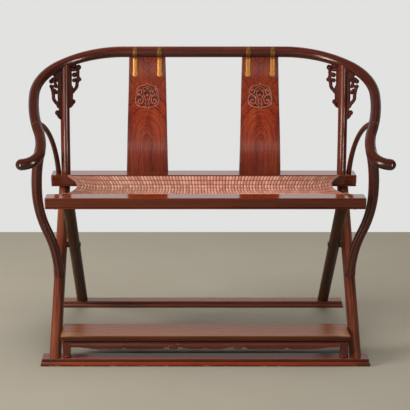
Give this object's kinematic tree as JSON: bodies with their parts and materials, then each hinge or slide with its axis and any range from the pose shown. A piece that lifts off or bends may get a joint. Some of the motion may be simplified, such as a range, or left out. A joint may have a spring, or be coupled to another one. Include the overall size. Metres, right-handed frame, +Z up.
{
  "type": "two-seat folding armchair",
  "caption": "Wide wooden folding armchair with a horseshoe back rail, splats, crossed legs, woven seat and hinged footrest.",
  "frame": {"origin": "on the floor at the middle of the footprint", "axes": "+Z up, the front faces -Y, +X to the right of someone who looks at the front"},
  "size_m": [1.1926, 0.64, 0.948],
  "materials": {
    "rosewood": "polished dark red wood",
    "figured_rosewood": "polished wood with a strong oval figure",
    "peg_wood": "dark wood",
    "brass": "polished",
    "web": "woven cord"
  },
  "bodies": {
    "back_frame": {"crest_centre": "rosewood", "crest_corner_left": "rosewood", "crest_corner_right": "rosewood", "crest_arm_left": "rosewood", "crest_arm_right": "rosewood", "crest_lock_pegs": "peg_wood", "back_post_left": "rosewood", "back_post_right": "rosewood", "back_splat_left": "figured_rosewood", "back_splat_right": "figured_rosewood", "inner_strap_left": "brass", "inner_strap_right": "brass", "outer_strap_left": "brass", "outer_strap_right": "brass", "strap_nails": "brass", "inner_bracket_left": "rosewood", "inner_bracket_right": "rosewood", "outer_bracket_left": "rosewood", "outer_bracket_right": "rosewood", "arm_post_left": "rosewood", "arm_post_right": "rosewood", "side_brace_left": "rosewood", "side_brace_right": "rosewood", "rear_seat_rail": "rosewood", "outer_leg_left": "rosewood", "outer_leg_right": "rosewood", "front_base_rail": "rosewood", "pivot_pin_left": "brass", "pivot_pin_right": "brass", "pivot_spacer_left": "brass", "pivot_spacer_right": "brass", "pivot_outer_washer_left": "brass", "pivot_outer_washer_right": "brass", "pivot_inner_washer_left": "brass", "pivot_inner_washer_right": "brass", "footrest_pin_left": "rosewood", "footrest_pin_right": "rosewood", "seat_web": "web"},
    "front_frame": {"front_seat_rail": "rosewood", "inner_leg_left": "rosewood", "inner_leg_right": "rosewood", "rear_base_rail": "rosewood", "cord_peg_left": "rosewood", "cord_peg_right": "rosewood"},
    "footrest": {"footrest_board": "rosewood", "footrest_waist": "rosewood", "footrest_apron": "rosewood", "footrest_rear_apron": "rosewood", "footrest_foot_left": "rosewood", "footrest_foot_right": "rosewood"}
  },
  "joints": [
    {"name": "fold", "type": "hinge", "parent": "back_frame", "child": "front_frame", "pos_m": [0, 0.00194, 0.31294], "axis": [-1, 0, 0], "range_deg": [0, 64], "deforming": ["seat_web"]},
    {"name": "footrest_flip", "type": "hinge", "parent": "back_frame", "child": "footrest", "pos_m": [0, -0.22, 0.091], "axis": [-1, 0, 0], "range_deg": [0, 130]}
  ]
}
